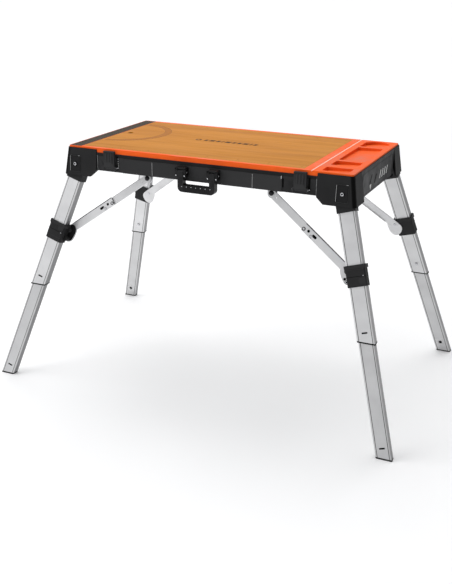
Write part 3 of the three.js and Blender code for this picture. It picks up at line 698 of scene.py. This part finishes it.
def wall_details(side_y):
    """The band of painted shadow under the rim, the panel joints and ribs in pale painted highlight, the
    slot and the recesses beside the latches as patches of painted shade, and the pins of one long side.
    """
    side = "front" if side_y < 0 else "back"
    ribs, dark, glint, band = Piece(), Piece(), Piece(), Piece()
    # a band of painted shadow under the orange rim
    band.prism(on_wall(side_y, 0, 740.8), rectangle(716, 9.6), -0.4, 0.2)
    # joint ribs and a row of dots, pale with painted highlight
    for x in (-165, 165):
        ribs.prism(on_wall(side_y, x, 712), rectangle(1.2, 42), -0.5, 0.5)
    for step in range(5):
        ribs.prism(on_wall(side_y, -285, 704 + step * 7), rounded(1.8, 4, 0.8), -0.5, 0.6)
    # the slot is a flat patch of painted shade
    dark.prism(on_wall(side_y, 259, 716), rounded(5, 26, 2), -0.5, 0.5)
    glint.prism(on_wall(side_y, 255, 733), rounded(1.8, 9, 0.8), -1.0, 2.6)
    for hand in (-1, 1):
        beside_latch = hand * 313 + 25.5
        # a patch of painted shade for the recess beside each latch
        dark.prism(on_wall(side_y, beside_latch, 722), rectangle(6, 36), -0.5, 0.3)
        glint.lathe(on_wall(side_y, beside_latch, 704), dome_profile(2.0, 1.6), 14)
    band.done(f"wall_rim_shadow_{side}", "table", SHADED, "black_plastic")
    ribs.done(f"wall_ribs_painted_highlight_{side}", "table", PAINTED_HIGHLIGHT, "black_plastic", 0.25)
    dark.done(f"wall_slot_shade_{side}", "table", DEEP_BLACK_AND_SHADE, "black_plastic")
    glint.done(f"wall_pins_{side}", "table", STEEL, "steel", 0.3)


def end_details(side_x):
    """Slots drawn as patches of painted shade, plain leaning bars, a raised frame and the stop studs of
    one end wall.
    """
    end = "right" if side_x > 0 else "left"
    slots, marks, ribs, studs = Piece(), Piece(), Piece(), Piece()
    place = face_frame("base_shell", (side_x * OUTSIDE_END, 0, 706), (-side_x, 0, 0))
    for y in (-28, 35):
        ribs.prism(place, rectangle(330, 1.6, y=y), -0.5, 0.8)
    for column in (-1, 1):
        ribs.prism(place, rectangle(1.6, 64, x=column * 164, y=3.5), -0.5, 0.8)
    # the two slots are flat patches of painted shade
    for x, y, lean in ((-80, 6, 9), (-30, -2, 7)):
        outline = [(x - 9, y - 12), (x - 3, y - 12), (x + 6 + lean, y + 12), (x + lean, y + 12)]
        slots.prism(place, outline, -0.4, 0.45)
    for step in range(4):
        x = 16 + step * 25
        marks.prism(place, [(x, -12), (x + 7, -12), (x + 17, 12), (x + 10, 12)], -0.3, 0.4)
    marks.prism(place, [(-87, -10), (-71, -10), (-79, -26)], -0.3, 0.4)
    for y in (-171, 171):
        below = hanging_frame(side_x * STUD["x"], y, STUD["z"])
        studs.lathe(below, [(0, -2), (5.2, -2), (5.2, 5.4), (4.2, 6.8), (0, 6.8)], 18)
    ribs.done(f"end_ribs_{end}", "table", BLACK, "black_plastic", 0.35)
    slots.done(f"end_slot_shade_{end}", "table", DEEP_BLACK_AND_SHADE, "black_plastic")
    marks.done(f"end_marks_{end}", "table", PALE_INK, "black_plastic")
    studs.done(f"end_studs_{end}", "table", DEEP_BLACK_AND_SHADE, "black_plastic", 0.4)


def underside():
    """Stiffening ribs and screw heads under the floor plate, clear of the folded legs."""
    _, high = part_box("base_shell")
    ribs, screws = Piece(), Piece()
    place = hanging_frame(0, 0, FLOOR_UNDERSIDE)
    half_x, half_y = high.x / MM - 12, 236
    for y in (-160, -80, 0, 80, 160):
        ribs.prism(place, rectangle(2 * half_x if abs(y) < 150 else 340, 2.4, y=y), -0.5, 2.2)
    for x in range(-420, 421, 70):
        span = 2 * half_y if abs(x) < 180 else 330
        ribs.prism(place, rectangle(2.4, span, x=x), -0.5, 2.2)
    for x in (-385, -245, -105, 105, 245, 385):
        for y in (-120, 120):
            seat = place @ Matrix.Translation((x, y, 0))
            ribs.tube(seat, circle(7.5), circle(5.2), -0.5, 2.2)
            screws.tube(seat, circle(4.4), hexagon(2.0), -0.5, 1.6)
    ribs.done("underside_ribs", "table", BLACK, "black_plastic", 0.3)
    screws.done("underside_screws", "table", STEEL, "steel", 0.3)


# ---- handle ----------------------------------------------------------------------------------


HANDLE_SPACING = 104
BRACKET_MIDDLE = 718.5
BAR_HEIGHT = 21


def handle_details():
    """Grip ribs and studs on the handle, and the lobes and pins of its hinge brackets, with painted shade
    in the lobes' sockets.
    """
    swing = joint_point("handle_swing") / MM
    low, _ = (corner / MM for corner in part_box("carry_handle"))
    ribs, lobes, dark, pins = Piece(), Piece(), Piece(), Piece()
    face = facing_frame(swing.x, low.y, low.z + BAR_HEIGHT / 2)
    for step in range(-6, 7):
        ribs.prism(face, rounded(3.6, 21, 1.7, x=step * 6.8), -0.6, 1.1)
    studs = Piece()
    for step in range(-3, 4):
        studs.lathe(face @ Matrix.Translation((step * 15.5, 6.5, 0)), dome_profile(1.5, 1.5), 12)
    studs.done("handle_studs", "handle", STEEL, "steel")
    under = hanging_frame(swing.x, swing.y, low.z)
    over = flat_frame(swing.x, swing.y, low.z + BAR_HEIGHT)
    for step in range(-5, 6):
        ribs.prism(under, rounded(4.2, 17, 1.9, x=step * 7.4), -0.6, 0.9)
        ribs.prism(over, rounded(3.8, 17, 1.8, x=step * 7.0), -0.6, 1.0)
    for hand in (-1, 1):
        middle = swing.x + hand * HANDLE_SPACING / 2
        arm = face @ Matrix.Translation((hand * HANDLE_SPACING / 2, 24, 0))
        ribs.prism(arm, rounded(9, 20, 3), -0.5, 0.9)
        bracket = f"handle_bracket_{'left' if hand < 0 else 'right'}"
        for edge in (-1, 1):
            place = local_frame(Vector((middle + edge * 14.2, swing.y, swing.z)) * MM,
                                Vector((0, edge, 0)), UP)
            lobes.lathe(place, [(0, -2.5), (8.4, -2.5), (8.4, 2.8), (7.2, 3.8), (0, 3.8)], 24)
            pins.lathe(place @ Matrix.Translation((0, 0, 3.7)), dome_profile(2.8, 1.2), 14)
            across = middle + edge * 13.8
            seat = face_frame(bracket, (across, -OUTSIDE_SIDE, BRACKET_MIDDLE + 10.5), (0, 1, 0))
            lobes.tube(seat, rounded(7.5, 9, 2.6), rounded(3.2, 4.2, 1.4), -0.5, 1.8)
            # painted shade in the socket
            dark.prism(seat, rounded(3.4, 4.4, 1.4), -0.4, 0.4)
            low_seat = face_frame(bracket, (across, -OUTSIDE_SIDE, BRACKET_MIDDLE - 9.5), (0, 1, 0))
            lobes.prism(low_seat, rounded(6, 7.5, 2.2), -0.5, 1.2)
            pins.lathe(low_seat @ Matrix.Translation((0, 0, 1.1)), dome_profile(1.9, 0.8), 12)
    ribs.done("handle_ribs", "handle", GRIP_BLACK, "black_plastic", 0.45)
    lobes.done("handle_lobes", "table", GRIP_BLACK, "black_plastic", 0.3)
    dark.done("handle_socket_shade", "table", DEEP_BLACK_AND_SHADE, "black_plastic")
    pins.done("handle_pins", "table", STEEL, "steel")


# ---- legs ------------------------------------------------------------------------------------

COLLAR = {"middle": 233.5, "face": 17.5, "half_width": 29, "height": 62}
LUG_PIN = {"along": 248, "out": 34, "offset": 1}
EAR = {"along": 217.9, "out": 29, "offset": 5}
DASH = {"length": 16.6, "height": 4.6, "upper": 395, "foot_rise": 30}
TUBE_FACES = {"outer": 13.35, "inner": 11.1}


def leg_details(corner):
    """The collar's trim, seams and pins with painted shade in the pin's hole, a band of painted shadow
    round the tube's mouth, and the inserts in the tubes' slots.
    """
    place, inward = leg_frame(corner), inboard(corner)
    out = -CORNERS[corner][0]
    trim, pins, dark, glint = Piece(), Piece(), Piece(), Piece()
    outboard = side_on(place, inward, -COLLAR["face"], 0, -COLLAR["middle"])
    half = COLLAR["half_width"]
    outer_end = -out * outboard.to_3x3().col[0].normalized().dot(place.to_3x3().col[0].normalized())
    dark.prism(outboard, rectangle(2 * half - 1, 1.2, y=-2), -0.4, 0.15)
    glint.prism(outboard, rounded(3.6, 2.2, 0.6, x=outer_end * (half - 7), y=-1), -0.3, 0.6)
    trim.prism(outboard, rounded(20, 17, 5, x=outer_end * (half - 12), y=-15), -0.6, 0.6)
    trim.prism(outboard, rounded(2 * half - 4, 2.2, 1, y=18), -0.6, 0.5)
    for edge in (-1, 1):
        turn = Matrix.Rotation(math.radians(90 * edge), 4, "Y")
        flank = place @ Matrix.Translation((edge * half, 0, -COLLAR["middle"])) @ turn
        dark.prism(flank, rectangle(COLLAR["height"] - 14, 0.9), -0.4, 0.15)
    lug = side_on(place, inward, LUG_PIN["offset"], out * LUG_PIN["out"], -LUG_PIN["along"])
    pins.tube(lug, circle(4.6), circle(2.3), -1.0, 1.2)
    # painted shade in the hole of the pin end
    dark.prism(lug, circle(2.4), -1.0, 0.4)
    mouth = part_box(f"outer_tube_{corner}")[0].z / MM
    outside, inside = rounded(51.6, 27.1, 1.2), rounded(47.0, 22.9, 1)
    # a thin dark band that paints the shadow gap at the outer tube's mouth
    ring = Piece().level_band(place, outside, inside, mouth - 3.6, mouth - 0.1)
    ring.done(f"tube_mouth_shadow_{corner}", f"leg_{corner}", DEEP_BLACK_AND_SHADE, "black_plastic")
    ear = side_on(place, inward, EAR["offset"], out * EAR["out"], -EAR["along"])
    pins.lathe(ear, dome_profile(3.6, 1.6), 18)
    to_floor = joint_point(f"leg_fold_{corner}").z / MM / place.to_3x3().col[2].normalized().z
    slots = {"outer": -DASH["upper"], "inner": DASH["foot_rise"] - to_floor}
    inserts = {}
    for tube, along in slots.items():
        inserts[tube] = Piece()
        seat = side_on(place, inward, -TUBE_FACES[tube], 0, along)
        inserts[tube].prism(seat, rounded(DASH["length"], DASH["height"], 1.5), -1.0, 0.12)
    trim.done(f"collar_trim_{corner}", f"leg_{corner}", BLACK, "black_plastic", 0.6)
    pins.done(f"collar_pin_{corner}", f"leg_{corner}", STEEL, "steel", 0.2)
    glint.done(f"collar_glint_{corner}", f"leg_{corner}", STEEL, "steel", 0.2)
    dark.done(f"collar_seams_and_hole_shade_{corner}", f"leg_{corner}", DEEP_BLACK_AND_SHADE, "black_plastic")
    inserts["outer"].done(f"upper_slot_{corner}", f"leg_{corner}", DEEP_BLACK_AND_SHADE, "black_plastic")
    inserts["inner"].done(f"lower_slot_{corner}", f"leg_extension_{corner}", DEEP_BLACK_AND_SHADE, "black_plastic")


# ---- braces ----------------------------------------------------------------------------------

KNEE = 161
SLEEVE_START = 140
RING_X = SLEEVE_START + 5.5
PLATE_FACE = 19.0
BAR_FACE = 24.5
EDGE_OUT = 13.0
PLATE_DARK_LAYER = [(-21, 12), (-23, -12), (0, -27), (17, -32), (29, -25), (31, -8), (22, 10), (8, 12)]


def soft_outline(points, steps=4):
    """A closed outline whose corners are rounded off between the middles of its sides."""
    soft = []
    for i, corner in enumerate(points):
        before, after = Vector(points[i - 1]), Vector(points[(i + 1) % len(points)])
        corner = Vector(corner)
        start, end = (before + corner) / 2, (corner + after) / 2
        for step in range(steps):
            t = step / steps
            soft.append(tuple(start * (1 - t) ** 2 + corner * (2 * t * (1 - t)) + end * t ** 2))
    return soft


def brace_details(corner):
    """Rivets and clips of the two brace links, painted shade along the upper link's edge, painted shadow
    along the lower link's edge, and a dark layer on the front left end plate.
    """
    place, inward, length = brace_frame(corner), inboard(corner), brace_length(corner)
    lift = 1 if brace_rise(place) else -1

    def outer_face(x, offset, z=0):
        return side_on(place, inward, offset, x, z)

    caps, upper, lower, clips, dark_trim_and_shadow = Piece(), Piece(), Piece(), Piece(), Piece()
    caps.lathe(outer_face(0, 22.9), [(0, -1.5), (7.6, -1.5), (7.9, 0.1), (6.4, 0.8), (0, 1.0)], 24)
    upper.lathe(outer_face(KNEE, 24.3), [(0, -6.4), (2.6, -6.4), (2.6, 5.6), (0, 5.6)])
    upper.lathe(outer_face(KNEE, 30.4), [(0, -2), (6, -2), (6, -1.2), (5, -0.3), (0, -0.3)])
    dark_trim_and_shadow.lathe(outer_face(KNEE, PLATE_FACE), dome_profile(4.3, 0.55), 20)
    ring = outer_face(RING_X, PLATE_FACE, -lift * 5)
    dark_trim_and_shadow.tube(ring, circle(5.6), circle(5.6 * 0.62), -0.5, 0.55)
    clips.lathe(ring, dome_profile(3.2, 0.9), 16)
    dark_trim_and_shadow.prism(outer_face(KNEE + 24, PLATE_FACE), rounded(16, 8, 3.9), -0.5, 0.3)
    near, far = -lift * inward * 3.5, -lift * inward * 10.5
    clip = [(4, near, 0.8), (-3, near, 0.8), (-5, (near + far) / 2, 0.8), (-3, far, 0.8), (4, far, 0.8)]
    clips.sweep(outer_face(KNEE + 16, PLATE_FACE), clip, 1.4)
    # a line of painted shade along the upper link's edge
    edge_shade_line = outer_face(SLEEVE_START / 2 + 10, BAR_FACE, lift * (EDGE_OUT - 1.5))
    upper.prism(edge_shade_line, rectangle(SLEEVE_START - 26, 0.9), -0.3, 0.25)
    # a line of painted shadow along the lower link's edge, where its channel opens
    start, end = SLEEVE_START + 1, length - 26
    seam = outer_face((start + end) / 2, PLATE_FACE, lift * (EDGE_OUT - 1.2))
    dark_trim_and_shadow.prism(seam, rectangle(end - start, 2.2), -0.3, 0.3)
    lower.lathe(outer_face(length, PLATE_FACE), dome_profile(5.0, 1.6), 20)
    dark_trim_and_shadow.lathe(outer_face(length + 8, PLATE_FACE, -lift * 24), dome_profile(4.2, 0.55), 18)
    if corner == "front_left":
        # a dark layer over the end plate, at the front left corner only
        outline = soft_outline([(x, lift * inward * z) for x, z in PLATE_DARK_LAYER])
        dark_layer = Piece().prism(outer_face(length, PLATE_FACE), outline, -0.4, 0.5)
        dark_layer.done(f"brace_plate_dark_layer_{corner}", f"lower_brace_{corner}", SHADED, "black_plastic", 0.2)
    caps.done(f"brace_pivot_cap_{corner}", "table", DARK_STEEL, "steel")
    upper.done(f"knee_pin_and_edge_shade_{corner}", f"upper_brace_{corner}", DARK_STEEL, "steel")
    lower.done(f"brace_rivets_{corner}", f"lower_brace_{corner}", STEEL, "steel")
    clips.done(f"knee_clip_{corner}", f"lower_brace_{corner}", STEEL, "steel")
    dark_trim_and_shadow.done(f"brace_dark_trim_and_edge_shadow_{corner}", f"lower_brace_{corner}", DEEP_BLACK_AND_SHADE, "black_plastic")


# ---- work surface ------------------------------------------------------------------------------

PRINT_LOW, PRINT_HIGH = -0.05, 0.10
NUMBER_HEIGHT = 7.0
GROOVE_X = 342


def surface_frame():
    _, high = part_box("worktop_board")
    return flat_frame(z=high.z / MM)


def edge_scales():
    """Ten-millimetre scales along both long edges of the board."""
    low, high = (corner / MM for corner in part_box("worktop_board"))
    top, scale = surface_frame(), Piece()
    for side in (-1, 1):
        edge = side * (high.y - 7)
        for step in range(int((high.x - low.x - 30) // 10)):
            reach = 11 if step % 10 == 0 else 7.5 if step % 5 == 0 else 4.5
            x = low.x + 20 + step * 10
            scale.prism(top, rectangle(0.7, reach, x, edge - side * reach / 2), PRINT_LOW, PRINT_HIGH)
    scale.done("edge_scales", "table", SCALE_INK, "board_wood")
    for side in (-1, 1):
        for tens in range(1, 8):
            place_number(f"scale_number_{'front' if side < 0 else 'back'}_{tens}", str(tens * 10),
                         low.x + 20 + tens * 100, side * (high.y - 25))


def place_number(name, digits, x, y):
    """A printed number, upright for someone at the handle's side."""
    text = bpy.data.curves.new(name, "FONT")
    text.body = digits
    text.size = NUMBER_HEIGHT * MM
    text.extrude = 0.05 * MM
    text.align_x = text.align_y = "CENTER"
    number = bpy.data.objects.new(name, text)
    bpy.context.scene.collection.objects.link(number)
    _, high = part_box("worktop_board")
    number.location = (x * MM, y * MM, high.z + 0.04 * MM)
    text.materials.append(SCALE_INK)
    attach(number, "table")


ARC_CENTRE_Y = 28
ARC_RADII = (134, 156)


def protractor():
    """A half-round angle scale at the grip strip's end of the board."""
    low, _ = (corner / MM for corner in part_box("worktop_board"))
    top = surface_frame() @ Matrix.Translation((low.x, ARC_CENTRE_Y, 0))
    scale, band = Piece(), Piece()

    def arc(piece, inner, outer, high):
        for step in range(34):
            start = math.radians(-86 + step * 172 / 34)
            end = math.radians(-86 + (step + 1) * 172 / 34)
            corners = ((inner, start), (outer, start), (outer, end), (inner, end))
            piece.prism(top, [(r * math.cos(a), r * math.sin(a)) for r, a in corners], PRINT_LOW, high)

    arc(band, *ARC_RADII, PRINT_HIGH / 2)
    for radius in ARC_RADII:
        arc(scale, radius - 0.5, radius + 0.5, PRINT_HIGH)
    for degrees in range(-85, 86, 5):
        inner = ARC_RADII[0] if degrees % 15 == 0 else ARC_RADII[1] - 9
        spoke = top @ Matrix.Rotation(math.radians(degrees), 4, "Z")
        scale.prism(spoke, rectangle(ARC_RADII[1] - inner, 0.8, (ARC_RADII[1] + inner) / 2),
                    PRINT_LOW, PRINT_HIGH)
    scale.done("protractor_scale", "table", SCALE_INK, "board_wood")
    band.done("protractor_band", "table", BAND, "board_wood")


def centre_mark():
    """A plain emblem in the middle of the board: a nut outline and a row of leaning bars."""
    top, mark = surface_frame(), Piece()
    badge = top @ Matrix.Translation((-136, 12, 0))
    mark.tube(badge, hexagon(11), hexagon(6), PRINT_LOW, PRINT_HIGH)
    x = -116.0
    for width in (15, 22, 15, 9, 22, 15, 15, 22, 9, 15):
        mark.prism(top, [(x, 3), (x + width - 4, 3), (x + width, 21), (x + 4, 21)], PRINT_LOW, PRINT_HIGH)
        x += width + 3.2
    mark.done("centre_mark", "table", INK, "board_wood")


FINGER_HOLE = (-394, 16, 8.7)


def tray_details():
    """A pale strip of painted highlight in the saw groove, and a disc of painted shade in the finger
    hole.
    """
    _, high = (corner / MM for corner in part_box("tray_frame"))
    x, y, radius = FINGER_HOLE
    # a dark disc of painted shade in the finger hole
    cup = Piece().prism(surface_frame(), circle(radius, x=x, y=y), -6, -2)
    cup.done("finger_hole_shade", "table", DEEP_BLACK_AND_SHADE, "black_plastic")
    # a pale strip that paints the highlight in the saw groove
    highlight_strip = Piece()
    along = facing_frame(GROOVE_X, 0, high.z - 1.6)
    half = high.y - 1.5
    highlight_strip.prism(along, rounded(5.6, 2.6, 1.2), -half, half)
    highlight_strip.done("groove_highlight_strip", "table", GROOVE_HIGHLIGHT, "orange_plastic")


# ---- studio ----------------------------------------------------------------------------------


FLOOR_HALF = 40.0
# Metres from the middle of the floor, and how strongly it glows there.
GLOW_NEAR, GLOW_FAR = (1.5, 0.12), (6.0, 0.32)


def pale_floor():
    """Pale paper that glows a little, and more so away from the bench."""
    mesh = bpy.data.meshes.new("floor")
    size = FLOOR_HALF
    mesh.from_pydata([(-size, -size, 0), (size, -size, 0), (size, size, 0), (-size, size, 0)], [],
                     [(0, 1, 2, 3)])
    floor = bpy.data.objects.new("floor", mesh)
    floor.location.z = -0.0005
    bpy.context.scene.collection.objects.link(floor)
    finish = Finish("floor_paper", 0.9)
    finish.color(finish.ramp(finish.noise(3, 2), (0.3, (0.93, 0.93, 0.93)), (0.7, (0.95, 0.95, 0.95))))
    finish.shader.inputs["Emission Color"].default_value = (1.0, 1.0, 1.0, 1.0)
    distance = finish.tree.nodes.new("ShaderNodeVectorMath")
    distance.operation = "LENGTH"
    finish.tree.links.new(finish.where, distance.inputs[0])
    glow = finish.span(distance.outputs["Value"], GLOW_NEAR[0], GLOW_FAR[0], GLOW_NEAR[1], GLOW_FAR[1])
    finish.tree.links.new(glow, finish.shader.inputs["Emission Strength"])
    mesh.materials.append(finish.material)


def soft_light(name, place, aim, size, power):
    lamp = bpy.data.lights.new(name, "AREA")
    lamp.shape = "RECTANGLE"
    lamp.size, lamp.size_y = size
    lamp.energy = power
    thing = bpy.data.objects.new(name, lamp)
    thing.location = place
    thing.rotation_mode = "QUATERNION"
    thing.rotation_quaternion = (Vector(aim) - Vector(place)).to_track_quat("-Z", "Y")
    bpy.context.scene.collection.objects.link(thing)


# The soft room is much brighter to the left, and a little brighter behind and above.
SKY_MEAN = 0.66
SKY_SLOPE = (-0.47, 0.16, 0.14)


def studio():
    world = bpy.data.worlds.new("studio")
    world.use_nodes = True
    tree = world.node_tree
    background = tree.nodes["Background"]
    background.inputs["Color"].default_value = (0.98, 0.985, 1.0, 1.0)
    towards = tree.nodes.new("ShaderNodeTexCoord").outputs["Generated"]
    slope = tree.nodes.new("ShaderNodeVectorMath")
    slope.operation = "DOT_PRODUCT"
    slope.inputs[1].default_value = SKY_SLOPE
    tree.links.new(towards, slope.inputs[0])
    strength = tree.nodes.new("ShaderNodeMath")
    strength.operation = "ADD"
    strength.inputs[1].default_value = SKY_MEAN
    tree.links.new(slope.outputs["Value"], strength.inputs[0])
    tree.links.new(strength.outputs[0], background.inputs["Strength"])
    bpy.context.scene.world = world
    bpy.context.scene.view_settings.view_transform = "Standard"
    middle = (0, 0, 0.5)
    soft_light("key", (-2.4, -1.4, 2.8), middle, (2.2, 2.2), 30)
    soft_light("top", (-0.4, 1.2, 3.2), middle, (2.8, 2.0), 34)
    pale_floor()


CAMERA_ANGLES = (24.477, 20.87, 0.37)
CAMERA_TARGET, CAMERA_DISTANCE = (-0.02483, -0.01149, 0.25525), 2.9889
CAMERA_LENS = 54.39


def camera():
    """The camera that was fitted to the photograph."""
    azimuth, elevation, roll = (math.radians(angle) for angle in CAMERA_ANGLES)
    back = Vector((math.sin(azimuth) * math.cos(elevation),
                   -math.cos(azimuth) * math.cos(elevation), math.sin(elevation)))
    lens = bpy.data.cameras.new("camera")
    lens.lens = CAMERA_LENS
    view = bpy.data.objects.new("camera", lens)
    view.location = Vector(CAMERA_TARGET) + back * CAMERA_DISTANCE
    view.rotation_mode = "QUATERNION"
    view.rotation_quaternion = (-back).to_track_quat("-Z", "Y") @ Quaternion((0, 0, 1), roll)
    bpy.context.scene.collection.objects.link(view)
    bpy.context.scene.camera = view


# ---- everything ------------------------------------------------------------------------------

camera()
studio()
dress_top()
for corner_name in CORNERS:
    dress_corner(corner_name)
    hinge_plate(corner_name)
    housing_seam_highlight(corner_name)
    latch_pins(corner_name)
    leg_details(corner_name)
    brace_details(corner_name)
for long_side in (-1, 1):
    wall_details(long_side)
for short_side in (-1, 1):
    end_details(short_side)
underside()
handle_details()
edge_scales()
protractor()
centre_mark()
tray_details()
